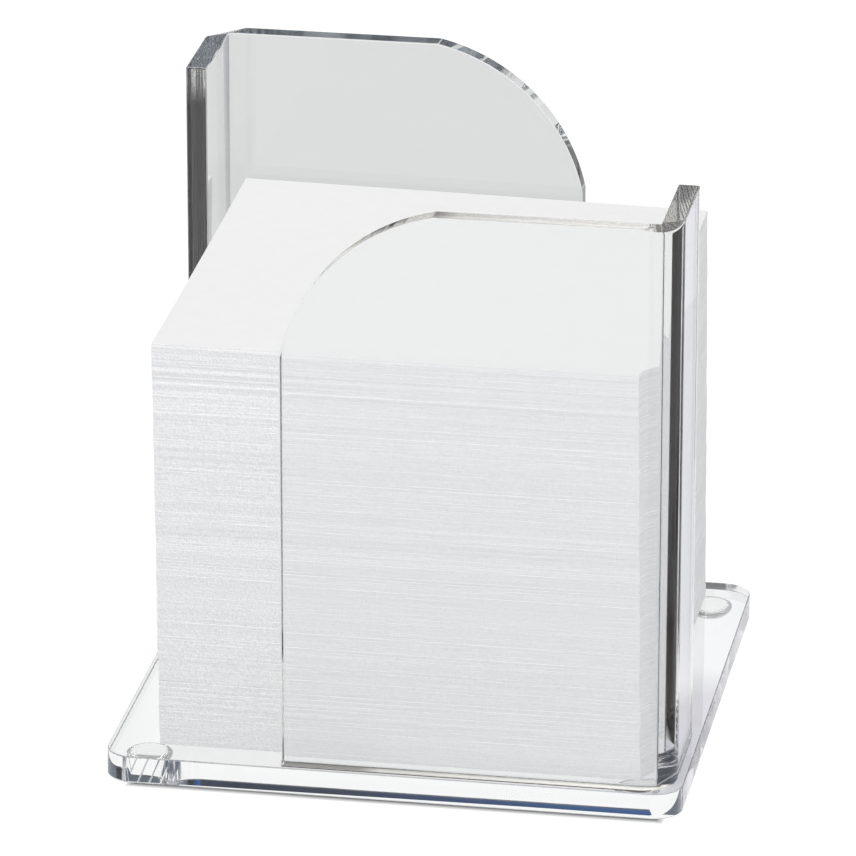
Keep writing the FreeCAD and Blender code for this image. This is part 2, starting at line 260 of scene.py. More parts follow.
# ------------------------------------------------------------------ corner walls
# Each wall is one 4 mm sheet of clear cast acrylic. Its free top corner is cut to a large
# round, its edges are flame polished, and it is softened along a line and folded to an L,
# which leaves the fold tight inside and stretched outside, where its top edge dips.
WALL_THICK = 4.0 * MM
WALL_POLISH = 0.35 * MM
BEND_OUTER = 7.0 * MM
BEND_INNER = 0.5 * MM
BEND_DIP = 0.8 * MM
FACE_SETBACK = 0.6 * MM
SWEEP_RADIUS = 36.8 * MM
SWEEP_SETBACK = 36.0 * MM
SWEEP_STEPS = 40
BEND_STEPS = 26
HALF_TURN = np.array([-1, -1, 1])


def half_turned(low, high):
    """The low and high corners of a box after half a turn about the Z axis."""
    return Vector((-high.x, -high.y, low.z)), Vector((-low.x, -low.y, high.z))


def wall_plan(low, high):
    """Outer and inner points, in pairs, along the L from the long leg's end to the short leg's.

    The fold is two quarter arcs that share their angles, a large one outside and a small
    one inside. The long leg's face stands a little way in from the plate's rim.
    """
    front = low.y + FACE_SETBACK
    side = high.x
    turn = np.linspace(-math.pi / 2, 0, BEND_STEPS)
    arc = np.stack([np.cos(turn), np.sin(turn)], 1)
    outer_centre = np.array([side - BEND_OUTER, front + BEND_OUTER])
    inner_centre = np.array([side - WALL_THICK - BEND_INNER, front + WALL_THICK + BEND_INNER])
    outer = np.vstack([[low.x, front], outer_centre + BEND_OUTER * arc, [side, high.y]])
    inner = np.vstack([[low.x, front + WALL_THICK], inner_centre + BEND_INNER * arc,
                       [side - WALL_THICK, high.y]])
    return outer, inner


def bent_wall(name, low, high, turned):
    """A closed L-shaped sheet, its long leg one flat face with a round corner.

    The round is an arc about a centre that is set back equally from the leg's end and its
    top edge. From the fold on, every plan point is an upright line of two points, so the
    fold is made of narrow upright bands. Its outer top edge dips by half a sine wave where
    the sheet was stretched. With turned set, the points take half a turn about the Z axis.
    """
    outer, inner = wall_plan(low, high)
    centre_x = low.x + SWEEP_SETBACK
    centre_z = high.z - SWEEP_SETBACK
    corner = math.asin(SWEEP_SETBACK / SWEEP_RADIUS)
    angle = np.linspace(math.pi / 2 + (math.pi / 2 - corner), math.pi / 2 + corner, SWEEP_STEPS)
    sweep_x = centre_x + SWEEP_RADIUS * np.cos(angle)
    sweep_z = centre_z + SWEEP_RADIUS * np.sin(angle)

    def flat_face(line):
        """Long leg's face points: bottom at the end, bottom and top at the fold, the sweep."""
        y = line[0, 1]
        x = np.concatenate([[line[0, 0], line[1, 0], line[1, 0]], sweep_x])
        z = np.concatenate([[low.z, low.z, high.z], sweep_z])
        return np.stack([x, np.full(len(x), y), z], 1)

    def bands(line, dip):
        """Bottom and top points of the upright lines past the fold's start."""
        rows = line[2:]
        base = np.column_stack([rows, np.full(len(rows), low.z)])
        crown = np.column_stack([rows, high.z - dip])
        return np.stack([base, crown], 1).reshape(-1, 3)

    fold_share = np.append(np.linspace(0, 1, BEND_STEPS)[1:], 1)
    stretch = np.sin(math.pi * fold_share)
    outer_points = np.vstack([flat_face(outer), bands(outer, BEND_DIP * stretch)])
    inner_points = np.vstack([flat_face(inner), bands(inner, 0 * stretch)])
    total = len(outer_points)
    flat = 3 + SWEEP_STEPS
    columns = [(1, 2)] + [(flat + 2 * k, flat + 2 * k + 1) for k in range(len(outer) - 2)]
    faces = [list(range(flat)), [total + i for i in range(flat - 1, -1, -1)]]
    for (low_a, top_a), (low_b, top_b) in zip(columns, columns[1:]):
        faces.append([low_a, low_b, top_b, top_a])
        faces.append([total + low_b, total + low_a, total + top_a, total + top_b])
        faces.append([total + low_a, total + low_b, low_b, low_a])
        faces.append([top_a, top_b, total + top_b, total + top_a])
    rim = list(range(2, flat)) + [0, 1]
    for a, b in zip(rim, rim[1:]):
        faces.append([a, total + a, total + b, b])
    low_end, top_end = columns[-1]
    faces.append([low_end, total + low_end, total + top_end, top_end])
    points = np.vstack([outer_points, inner_points])
    if turned:
        points = points * HALF_TURN
    mesh = bpy.data.meshes.new(name)
    mesh.from_pydata(points.tolist(), [], faces)
    mesh.polygons.foreach_set("use_smooth", np.ones(len(faces), bool))
    mesh.update()
    wall = bpy.data.objects.new(name, mesh)
    bpy.context.scene.collection.objects.link(wall)
    return wall


wall_acrylic = cast_acrylic("cast_acrylic_sheet", ripple_mm=28.0, ripple_height_mm=0.006)
for node, name, turned in (("front_corner_wall", "front_wall_sheet", False),
                           ("rear_corner_wall", "rear_wall_sheet", True)):
    wall_low, wall_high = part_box(node)
    if turned:
        wall_low, wall_high = half_turned(wall_low, wall_high)
    wall = bent_wall(name, wall_low, wall_high, turned)
    polish_edges(wall, WALL_POLISH, steps=3)
    wall.data.materials.append(wall_acrylic)
    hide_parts(node)
    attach(wall, "holder")

# ------------------------------------------------------------------ cement
# A film of solvent cement under each wall. It dries as a thin uneven line, cloudy with
# fine bubbles, that shows through the clear sheets above and below it. Under the short and
# rear legs its colour is a painted reflection of what the walls' top edges show.
CEMENT_INSET = 0.25 * MM
# The film lies this much above its place, so that no two surfaces coincide.
CEMENT_BITE = 0.02 * MM
# The walls' outer faces, on either side of the middle.
WALL_FACES = (52.7 * MM, 51.4 * MM, 0.0)


def set_stops(ramp, stops):
    """Give a colour ramp its stops, pairs of position and hex colour from low to high."""
    for element, (position, colour) in zip(ramp.elements, (stops[0], stops[-1])):
        element.position = position
        element.color = linear(colour)
    for position, colour in stops[1:-1]:
        ramp.elements.new(position).color = linear(colour)


def cement_and_painted_reflections(name):
    """Dried acrylic cement, with a different look under each kind of leg.

    Under the front leg it is a pale beige film, dark and broken where it ends at each face,
    and greyer left of the middle. There the distance in from the wall's outer face tells the
    film's middle from its rims. Under the short legs its colour is a painted reflection, dark
    slate with bright curved lines and paler at the left, standing for what the walls' top
    edges show down the sheet. Under the rear leg it is a painted reflection too, pale
    blue-grey in patches.
    """
    material, tree, output = new_material(name)
    place = add_node(tree, "ShaderNodeTexCoord")
    either_side = add_node(tree, "ShaderNodeVectorMath", {0: place.outputs["Object"]},
                           operation="ABSOLUTE")
    inward = add_node(tree, "ShaderNodeVectorMath", {
        0: WALL_FACES, 1: either_side.outputs[0]}, operation="SUBTRACT")
    apart = add_node(tree, "ShaderNodeSeparateXYZ", {"Vector": inward.outputs[0]})
    depth = add_node(tree, "ShaderNodeMath", {0: apart.outputs["X"], 1: apart.outputs["Y"]},
                     operation="MINIMUM")
    bubbles = add_node(tree, "ShaderNodeTexNoise", {
        "Vector": place.outputs["Object"], "Scale": 1 / (0.7 * MM), "Detail": 3.0,
        "Roughness": 0.7})
    uneven = add_node(tree, "ShaderNodeMath", {
        0: bubbles.outputs["Fac"], 1: 1.6 * MM, 2: depth.outputs[0]}, operation="MULTIPLY_ADD")
    share = add_node(tree, "ShaderNodeMapRange", {
        "Value": uneven.outputs[0], "From Min": 0.8 * MM, "From Max": 4.8 * MM})
    tone = add_node(tree, "ShaderNodeValToRGB", {"Fac": share.outputs[0]})
    set_stops(tone.color_ramp, ((0.1, "#4E4840"), (0.2, "#DEDBD4"), (0.5, "#F4F2ED"),
                                (0.8, "#DCD8D0"), (0.92, "#5A544B")))
    spot = add_node(tree, "ShaderNodeSeparateXYZ", {"Vector": place.outputs["Object"]})
    greyer = add_node(tree, "ShaderNodeMapRange", {
        "Value": spot.outputs["X"], "From Min": -2.0 * MM, "From Max": -6.0 * MM})
    front_film = add_node(tree, "ShaderNodeMixRGB", {
        "Fac": greyer.outputs[0], "Color1": tone.outputs["Color"],
        "Color2": linear("#B0AEAE")}, blend_type="MULTIPLY")
    patches = add_node(tree, "ShaderNodeTexNoise", {
        "Vector": place.outputs["Object"], "Scale": 1 / (5.0 * MM), "Detail": 3.0})
    paler_to_left = add_node(tree, "ShaderNodeMapRange", {
        "Value": spot.outputs["X"], "From Min": 10.0 * MM, "From Max": -10.0 * MM, "To Max": 0.4})
    short_share = add_node(tree, "ShaderNodeMath", {
        0: patches.outputs["Fac"], 1: paler_to_left.outputs[0]}, operation="ADD")
    # Painted reflection under the short legs: dark slate with bright curved lines, paler at the
    # left.
    short_leg_painted_reflection = add_node(tree, "ShaderNodeValToRGB", {"Fac": short_share.outputs[0]})
    set_stops(short_leg_painted_reflection.color_ramp, (
        (0.38, "#262E3A"), (0.47, "#4E5864"), (0.495, "#FFFFFF"), (0.52, "#4A5460"),
        (0.64, "#9AA0A6"), (0.7, "#D2D4D6"), (0.95, "#FFFFFF")))
    # Painted reflection under the rear leg: pale blue-grey patches.
    rear_leg_painted_reflection = add_node(tree, "ShaderNodeValToRGB", {"Fac": patches.outputs["Fac"]})
    set_stops(rear_leg_painted_reflection.color_ramp, ((0.4, "#A4ACB4"), (0.6, "#DCE2E8")))
    off_front = add_node(tree, "ShaderNodeMapRange", {
        "Value": spot.outputs["Y"], "From Min": -47.5 * MM, "From Max": -46.5 * MM})
    at_rear = add_node(tree, "ShaderNodeMapRange", {
        "Value": spot.outputs["Y"], "From Min": 46.5 * MM, "From Max": 47.5 * MM})
    both = add_node(tree, "ShaderNodeMixRGB", {
        "Fac": off_front.outputs[0], "Color1": front_film.outputs["Color"],
        "Color2": short_leg_painted_reflection.outputs["Color"]})
    all_round = add_node(tree, "ShaderNodeMixRGB", {
        "Fac": at_rear.outputs[0], "Color1": both.outputs["Color"],
        "Color2": rear_leg_painted_reflection.outputs["Color"]})
    film = add_node(tree, "ShaderNodeBsdfPrincipled", {
        "Base Color": all_round.outputs["Color"], "Roughness": 0.45, "IOR": 1.47})
    tree.links.new(film.outputs[0], output.inputs["Surface"])
    return material


cement = cement_and_painted_reflections("cement_and_painted_reflections")
for node, name, turned in (("front_wall_cement", "front_cement_film", False),
                           ("rear_wall_cement", "rear_cement_film", True)):
    film_low, film_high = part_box(node)
    if turned:
        film_low, film_high = half_turned(film_low, film_high)
    outer, inner = wall_plan(film_low, film_high)
    inset = CEMENT_INSET / WALL_THICK
    outline = np.vstack([outer + (inner - outer) * inset,
                         (inner + (outer - inner) * inset)[::-1]])
    rings = stand_up(outline, [film_low.z + CEMENT_BITE, film_high.z + CEMENT_BITE])
    if turned:
        rings = rings * HALF_TURN
    film = ring_solid(name, rings)
    film.data.materials.append(cement)
    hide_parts(node)
    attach(film, "holder")

# ------------------------------------------------------------------ memo sheets
# A block of some 790 loose sheets of white uncoated paper, 90 mm square, guillotined
# together. The cut faces show the sheets as fine uneven lines, because no two sheets lie
# quite over each other, and their darker tone is partly painted shade between the sheets.
SIDE_POINTS = 24
# Each layer of the block's mesh stands for about three sheets that shift and wave together.
LAYER = 0.32 * MM
SHEET_SHIFT = 0.015 * MM
EDGE_WAVE = 0.01 * MM
BUNDLE_DRIFT = 0.12 * MM
BUNDLE_LAYERS = 19
FOOT_OFFSET = 0.4 * MM
BACK_LEFT_LIFT = 1.2 * MM
# Between the block and the plate, so that no two surfaces coincide.
STACK_GAP = 0.05 * MM
seed = np.random.default_rng(90)


def writing_paper(name):
    """Uncoated white paper: nearly even, with fibre clouds some 3 mm wide."""
    material, tree, output = new_material(name)
    place = add_node(tree, "ShaderNodeTexCoord")
    clouds = add_node(tree, "ShaderNodeTexNoise", {
        "Vector": place.outputs["Object"], "Scale": 1 / (3.0 * MM), "Detail": 4.0})
    tone = add_node(tree, "ShaderNodeMixRGB", {
        "Fac": clouds.outputs["Fac"], "Color1": linear("#F4F4F4"),
        "Color2": linear("#F8F8F8")})
    tooth = add_node(tree, "ShaderNodeTexNoise", {
        "Vector": place.outputs["Object"], "Scale": 1 / (0.35 * MM), "Detail": 2.0})
    bump = add_node(tree, "ShaderNodeBump", {
        "Height": tooth.outputs["Fac"], "Strength": 0.4, "Distance": 0.02 * MM})
    face = add_node(tree, "ShaderNodeBsdfPrincipled", {
        "Base Color": tone.outputs["Color"], "Roughness": 0.85, "IOR": 1.45,
        "Normal": bump.outputs["Normal"]})
    tree.links.new(face.outputs[0], output.inputs["Surface"])
    return material


def cut_edges(name):
    """Guillotined sheet edges: fine lines along the sheets, and bundles some 0.9 mm thick.

    The bundles show most near the top, where the sheets lie loose, and at the open corner,
    where they are fingered. Single sheets of 0.1 mm are too fine to show. The edges' tone,
    darker than the paper's face, and their dark lines are partly the cut paper and partly
    painted shade between the sheets.
    """
    material, tree, output = new_material(name)
    place = add_node(tree, "ShaderNodeTexCoord")
    along = add_node(tree, "ShaderNodeMapping", {
        "Vector": place.outputs["Object"], "Scale": (70.0, 70.0, 3200.0)})
    lines = add_node(tree, "ShaderNodeTexNoise", {
        "Vector": along.outputs["Vector"], "Scale": 1.0, "Detail": 3.0, "Roughness": 0.6})
    fleck_place = add_node(tree, "ShaderNodeMapping", {
        "Vector": place.outputs["Object"], "Scale": (900.0, 900.0, 3600.0)})
    flecks = add_node(tree, "ShaderNodeTexNoise", {
        "Vector": fleck_place.outputs["Vector"], "Scale": 1.0, "Detail": 2.0})
    fine = add_node(tree, "ShaderNodeMath", {
        0: lines.outputs["Fac"], 1: flecks.outputs["Fac"]}, operation="ADD")
    spot = add_node(tree, "ShaderNodeSeparateXYZ", {"Vector": place.outputs["Object"]})
    upward = add_node(tree, "ShaderNodeMapRange", {
        "Value": spot.outputs["Z"], "From Min": 45 * MM, "From Max": 82 * MM,
        "To Min": 0.3, "To Max": 1.6})
    fingered = add_node(tree, "ShaderNodeMapRange", {
        "Value": spot.outputs["X"], "From Min": -19 * MM, "From Max": -22 * MM,
        "To Min": 0.7, "To Max": 1.6})
    loose = add_node(tree, "ShaderNodeMath", {
        0: upward.outputs[0], 1: fingered.outputs[0]}, operation="MULTIPLY")
    bundle_place = add_node(tree, "ShaderNodeMapping", {
        "Vector": place.outputs["Object"], "Scale": (10.0, 10.0, 1700.0)})
    bundles = add_node(tree, "ShaderNodeTexNoise", {
        "Vector": bundle_place.outputs["Vector"], "Scale": 1.0, "Detail": 2.0})
    uneven = add_node(tree, "ShaderNodeMath", {
        0: bundles.outputs["Fac"], 1: 0.5}, operation="SUBTRACT")
    grain = add_node(tree, "ShaderNodeTexNoise", {
        "Vector": place.outputs["Object"], "Scale": 1 / (0.4 * MM), "Detail": 1.0})
    gritty = add_node(tree, "ShaderNodeMath", {
        0: grain.outputs["Fac"], 1: 0.5}, operation="SUBTRACT")
    rough_cut = add_node(tree, "ShaderNodeMath", {
        0: gritty.outputs[0], 1: fingered.outputs[0]}, operation="MULTIPLY")
    coarse = add_node(tree, "ShaderNodeMath", {
        0: uneven.outputs[0], 1: loose.outputs[0], 2: rough_cut.outputs[0]},
        operation="MULTIPLY_ADD")
    both = add_node(tree, "ShaderNodeMath", {
        0: fine.outputs[0], 1: 0.6, 2: coarse.outputs[0]}, operation="MULTIPLY_ADD")
    tone = add_node(tree, "ShaderNodeMapRange", {
        "Value": both.outputs[0], "From Min": 0.24, "From Max": 1.06})
    # The darker tone is partly painted shade between the sheets.
    shade = add_node(tree, "ShaderNodeMixRGB", {
        "Fac": tone.outputs[0], "Color1": linear("#E3E4E6"), "Color2": linear("#F4F4F5")})
    bump = add_node(tree, "ShaderNodeBump", {
        "Height": both.outputs[0], "Strength": 0.7, "Distance": 0.06 * MM})
    edge = add_node(tree, "ShaderNodeBsdfPrincipled", {
        "Base Color": shade.outputs["Color"], "Roughness": 0.8, "IOR": 1.45,
        "Normal": bump.outputs["Normal"]})
    tree.links.new(edge.outputs[0], output.inputs["Surface"])
    return material


stack_low, stack_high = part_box("memo_stack")
sheet_low, sheet_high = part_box("top_sheet")
sheet_size = sheet_high.x - sheet_low.x
stack_height = stack_high.z - stack_low.z


def lifted(points):
    """Raise the points towards the block's back left top corner, where the sheets fan up.

    The rise is the full lift, times the share of the way to the left, the share of the way
    to the back squared, and the share of the height cubed.
    """
    left = np.clip((sheet_high.x - points[..., 0]) / sheet_size, 0, 1)
    back = np.clip((points[..., 1] - sheet_low.y) / sheet_size, 0, 1)
    rise = np.clip((points[..., 2] - stack_low.z) / stack_height, 0, 1)
    raised = points.copy()
    raised[..., 2] += BACK_LEFT_LIFT * left * back ** 2 * rise ** 3
    return raised


def square_outline(points_per_side):
    """Points in equal steps, anticlockwise, round a unit square centred on the origin."""
    step = np.arange(points_per_side) / points_per_side - 0.5
    near = np.full(points_per_side, -0.5)
    front = np.stack([step, near], 1)
    right = np.stack([-near, step], 1)
    back = np.stack([-step, -near], 1)
    left = np.stack([near, -step], 1)
    return np.vstack([front, right, back, left])


layers = round(stack_height / LAYER)
unit = square_outline(SIDE_POINTS)
around = len(unit)
rise = (np.arange(layers) + 0.5) / layers
# The block leans a little, from the plate to the middle of the uppermost sheet, and drifts.
lean_from = np.array([(stack_low.x + stack_high.x) / 2 + FOOT_OFFSET,
                      (stack_low.y + stack_high.y) / 2 - FOOT_OFFSET])
lean_to = np.array([(sheet_low.x + sheet_high.x) / 2, (sheet_low.y + sheet_high.y) / 2])
centres = lean_from + (lean_to - lean_from) * rise[:, None]
slow = seed.normal(0, 1, (layers, 2))
kernel = np.hanning(BUNDLE_LAYERS)
slow = np.stack([np.convolve(slow[:, i], kernel / kernel.sum(), "same") for i in (0, 1)], 1)
centres = centres + BUNDLE_DRIFT * slow + seed.normal(0, SHEET_SHIFT, (layers, 2))
wave = seed.normal(0, EDGE_WAVE, (layers, around, 1)) * unit / 0.5
outline = centres[:, None, :] + unit * sheet_size + wave
rings = np.empty((layers, 2, around, 3))
rings[..., :2] = outline[:, None]
heights = np.linspace(stack_low.z + STACK_GAP, stack_high.z, layers + 1)
rings[:, 0, :, 2] = heights[:-1, None]
rings[:, 1, :, 2] = heights[1:, None]
block = ring_solid("sheet_block", lifted(rings.reshape(-1, around, 3)))
block.data.polygons.foreach_set("use_smooth", np.zeros(len(block.data.polygons), bool))
block.data.materials.append(cut_edges("guillotined_edges"))
block.data.materials.append(writing_paper("writing_paper"))
# The last two faces are the block's bottom and top, which are paper. The rest is cut edges.
slots = np.zeros(len(block.data.polygons), np.int32)
slots[-2:] = 1
block.data.polygons.foreach_set("material_index", slots)
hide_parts("memo_stack")
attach(block, "memo_block")

# The uppermost sheet lies loose on the block and follows its top.
SHEET_STEPS = 24
steps = np.linspace(-0.5, 0.5, SHEET_STEPS)
grid = np.stack(np.meshgrid(steps, steps, indexing="ij"), -1).reshape(-1, 2)
top_points = np.column_stack([grid * sheet_size + lean_to, np.full(len(grid), stack_high.z)])
top_points = lifted(top_points)
cell = np.arange(SHEET_STEPS - 1)
first = (cell[:, None] * SHEET_STEPS + cell).ravel()
quads = np.stack([first, first + SHEET_STEPS, first + SHEET_STEPS + 1, first + 1], 1)
sheet_mesh = bpy.data.meshes.new("uppermost_sheet")
sheet_mesh.from_pydata(top_points.tolist(), [], quads.tolist())
uppermost = bpy.data.objects.new("uppermost_sheet", sheet_mesh)
bpy.context.scene.collection.objects.link(uppermost)
thickness = uppermost.modifiers.new("thickness", "SOLIDIFY")
thickness.thickness = sheet_high.z - sheet_low.z
thickness.offset = 1.0
uppermost.data.materials.append(writing_paper("top_writing_paper"))
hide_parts("top_sheet")
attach(uppermost, "loose_sheet")

# ------------------------------------------------------------------ desk, light and camera
# A white table in a dark room, under one softbox and a pale window. The eye sees white all
# round. Rays that the clear sheets have mirrored or bent see the table as a glowing pale strip
# from front to back, painted light in place of the lit table, and a room in navy, slate and
# pale bands.
TABLE_REACH = 3.0
bpy.ops.mesh.primitive_plane_add(size=2 * TABLE_REACH, location=(0, 0, -0.0001))
table = bpy.context.object
table.name = "table"
table_white, tree, output = new_material("table_laminate")
path = add_node(tree, "ShaderNodeLightPath")
place = add_node(tree, "ShaderNodeTexCoord")
apart = add_node(tree, "ShaderNodeSeparateXYZ", {"Vector": place.outputs["Object"]})


def gap_to(tree, coordinate, line):
    """How far a coordinate is from a line, on either side: their difference without its sign."""
    offset = add_node(tree, "ShaderNodeMath", {0: coordinate, 1: -line}, operation="ADD")
    gap = add_node(tree, "ShaderNodeMath", {0: offset.outputs[0]}, operation="ABSOLUTE")
    return gap.outputs[0]


# The strip is narrowest 20 mm in front of the middle and widens away from there. Its edge is
# sharp but for the back left, where it fades.
half_width = add_node(tree, "ShaderNodeMath", {
    0: gap_to(tree, apart.outputs["Y"], -0.02), 1: 0.2, 2: 0.06}, operation="MULTIPLY_ADD")
off_middle = add_node(tree, "ShaderNodeMath", {0: apart.outputs["X"]}, operation="ABSOLUTE")
past_side = add_node(tree, "ShaderNodeMath", {0: off_middle.outputs[0], 1: half_width.outputs[0]},
                     operation="SUBTRACT")
to_left = add_node(tree, "ShaderNodeMapRange", {
    "Value": apart.outputs["X"], "From Min": 0.0, "From Max": -0.05})
to_back = add_node(tree, "ShaderNodeMapRange", {
    "Value": apart.outputs["Y"], "From Min": 0.10, "From Max": 0.25})
back_left = add_node(tree, "ShaderNodeMath", {0: to_left.outputs[0], 1: to_back.outputs[0]},
                     operation="MULTIPLY")
fade = add_node(tree, "ShaderNodeMath", {0: back_left.outputs[0], 1: 0.16, 2: 0.008},
                operation="MULTIPLY_ADD")
past_edge = add_node(tree, "ShaderNodeMapRange", {
    "Value": past_side.outputs[0], "From Min": 0.0, "From Max": fade.outputs[0]},
    interpolation_type="SMOOTHSTEP")
# It is greyer further back and at the back right, has painted shade under the block's right
# side, and has a painted shadow line 5 mm behind the plate's front rim.
further = add_node(tree, "ShaderNodeMapRange", {
    "Value": apart.outputs["Y"], "From Min": 0.08, "From Max": 0.28})
strip = add_node(tree, "ShaderNodeMixRGB", {
    "Fac": further.outputs[0], "Color1": linear("#FBFBFB"), "Color2": linear("#DEDEDE")})
to_right = add_node(tree, "ShaderNodeMapRange", {
    "Value": apart.outputs["X"], "From Min": 0.045, "From Max": 0.065})
past_front = add_node(tree, "ShaderNodeMapRange", {
    "Value": apart.outputs["Y"], "From Min": 0.0, "From Max": 0.05})
back_right = add_node(tree, "ShaderNodeMath", {0: to_right.outputs[0], 1: past_front.outputs[0]},
                      operation="MULTIPLY")
greyed = add_node(tree, "ShaderNodeMixRGB", {
    "Fac": back_right.outputs[0], "Color1": strip.outputs["Color"], "Color2": linear("#E8E8EE")})
# Painted shade on the table under the block's right side.
under_right = add_node(tree, "ShaderNodeMapRange", {
    "Value": apart.outputs["X"], "From Min": 0.036, "From Max": 0.048})
near_leg = add_node(tree, "ShaderNodeMapRange", {
    "Value": gap_to(tree, apart.outputs["Y"], -0.015), "From Min": 0.034, "From Max": 0.020})
beside = add_node(tree, "ShaderNodeMath", {0: under_right.outputs[0], 1: near_leg.outputs[0]},
                  operation="MULTIPLY")
painted_block_shade = add_node(tree, "ShaderNodeMixRGB", {
    "Fac": beside.outputs[0], "Color1": greyed.outputs["Color"], "Color2": linear("#D8D7DE")})
# Painted shadow line under the plate's front rim.
under_rim = add_node(tree, "ShaderNodeMapRange", {
    "Value": gap_to(tree, apart.outputs["Y"], -0.0468), "From Min": 0.0028,
    "From Max": 0.0022})
under_plate = add_node(tree, "ShaderNodeMapRange", {
    "Value": off_middle.outputs[0], "From Min": 0.054, "From Max": 0.050})
painted_rim_shadow = add_node(tree, "ShaderNodeMath", {0: under_rim.outputs[0], 1: under_plate.outputs[0]},
                    operation="MULTIPLY")
with_rim_shadow = add_node(tree, "ShaderNodeMixRGB", {
    "Fac": painted_rim_shadow.outputs[0], "Color1": painted_block_shade.outputs["Color"], "Color2": linear("#303236")})
# A ray that has both passed a face and been mirrored was caught inside a sheet. Past the
# strip it sees near black, painted shade that shows in the sheets' edges and ends.
# Other bent rays see a pale grey there, darker at the back left and to the right.
trapped = add_node(tree, "ShaderNodeMath", {
    0: path.outputs["Glossy Depth"], 1: path.outputs["Transmission Depth"]},
    operation="MULTIPLY", use_clamp=True)
painted_dark_share = add_node(tree, "ShaderNodeMath", {0: past_edge.outputs[0], 1: trapped.outputs[0]},
                   operation="MULTIPLY")
right_of_holder = add_node(tree, "ShaderNodeMapRange", {
    "Value": gap_to(tree, apart.outputs["X"], 0.14), "From Min": 0.08, "From Max": 0.04})
greyer_side = add_node(tree, "ShaderNodeMath", {
    0: back_left.outputs[0], 1: right_of_holder.outputs[0]}, operation="MAXIMUM")
far_tone = add_node(tree, "ShaderNodeMixRGB", {
    "Fac": greyer_side.outputs[0], "Color1": linear("#E2E2E4"), "Color2": linear("#8E8E90")})
beyond = add_node(tree, "ShaderNodeMixRGB", {
    "Fac": past_edge.outputs[0], "Color1": with_rim_shadow.outputs["Color"],
    "Color2": far_tone.outputs["Color"]})
mirrored = add_node(tree, "ShaderNodeMixRGB", {
    "Fac": painted_dark_share.outputs[0], "Color1": beyond.outputs["Color"], "Color2": linear("#140F0A")})
# The light that the table throws back at the paper: less near the block, least behind it.
off = add_node(tree, "ShaderNodeVectorMath", {0: place.outputs["Object"]}, operation="LENGTH")
away = add_node(tree, "ShaderNodeMapRange", {
    "Value": off.outputs["Value"], "From Min": 0.05, "From Max": 0.22})
open_table = add_node(tree, "ShaderNodeMixRGB", {
    "Fac": away.outputs[0], "Color1": linear("#9C9C9C"), "Color2": linear("#D6D6D6")})
rightwards = add_node(tree, "ShaderNodeMath", {0: apart.outputs["X"], 1: 0.0},
                      operation="MAXIMUM")
behind = add_node(tree, "ShaderNodeMath", {
    0: rightwards.outputs[0], 1: -0.4, 2: apart.outputs["Y"]}, operation="MULTIPLY_ADD")
in_shade = add_node(tree, "ShaderNodeMapRange", {
    "Value": behind.outputs[0], "From Min": 0.0, "From Max": 0.07},
    interpolation_type="SMOOTHSTEP")
bounced = add_node(tree, "ShaderNodeMixRGB", {
    "Fac": in_shade.outputs[0], "Color1": open_table.outputs["Color"],
    "Color2": linear("#5E5E5E")})
laminate = add_node(tree, "ShaderNodeEmission", {"Color": bounced.outputs["Color"]})
in_clear_sheet = add_node(tree, "ShaderNodeEmission", {"Color": mirrored.outputs["Color"]})
# The eye sees a nearly white table that glows and takes a faint shadow. Under the plate a
# shadow is painted on it, dark to within some 4 mm of the rim.
faint = add_node(tree, "ShaderNodeBsdfDiffuse", {"Color": linear("#7C7C7C")})
either_side = add_node(tree, "ShaderNodeVectorMath", {0: place.outputs["Object"]},
                       operation="ABSOLUTE")
inward = add_node(tree, "ShaderNodeVectorMath", {
    0: (plate_high.x, plate_high.y, 0.0), 1: either_side.outputs[0]}, operation="SUBTRACT")
under = add_node(tree, "ShaderNodeSeparateXYZ", {"Vector": inward.outputs[0]})
depth = add_node(tree, "ShaderNodeMath", {0: under.outputs["X"], 1: under.outputs["Y"]},
                 operation="MINIMUM")
# Painted contact shadow, dark from 3.2 mm to 5 mm in from the plate's rim.
painted_contact_shadow = add_node(tree, "ShaderNodeMapRange", {
    "Value": depth.outputs[0], "From Min": 0.0032, "From Max": 0.0050})
glow_with_painted_shadow = add_node(tree, "ShaderNodeMixRGB", {
    "Fac": painted_contact_shadow.outputs[0], "Color1": linear("#F2F2F2"), "Color2": linear("#3C3C3E")})
glow = add_node(tree, "ShaderNodeEmission", {"Color": glow_with_painted_shadow.outputs["Color"]})
lit = add_node(tree, "ShaderNodeAddShader", {0: faint.outputs[0], 1: glow.outputs[0]})
bent = add_node(tree, "ShaderNodeMath", {
    0: path.outputs["Is Glossy Ray"], 1: path.outputs["Is Transmission Ray"]},
    operation="MAXIMUM")
floor_bent = add_node(tree, "ShaderNodeMixShader", {
    0: bent.outputs[0], 1: laminate.outputs[0], 2: in_clear_sheet.outputs[0]})
floor_mix = add_node(tree, "ShaderNodeMixShader", {
    0: path.outputs["Is Camera Ray"], 1: floor_bent.outputs[0], 2: lit.outputs[0]})
tree.links.new(floor_mix.outputs[0], output.inputs["Surface"])
table.data.materials.append(table_white)

world = bpy.data.worlds.new("studio")
bpy.context.scene.world = world
world.use_nodes = True
tree = world.node_tree
tree.nodes.clear()
path = add_node(tree, "ShaderNodeLightPath")
way = add_node(tree, "ShaderNodeTexCoord")
apart = add_node(tree, "ShaderNodeSeparateXYZ", {"Vector": way.outputs["Generated"]})
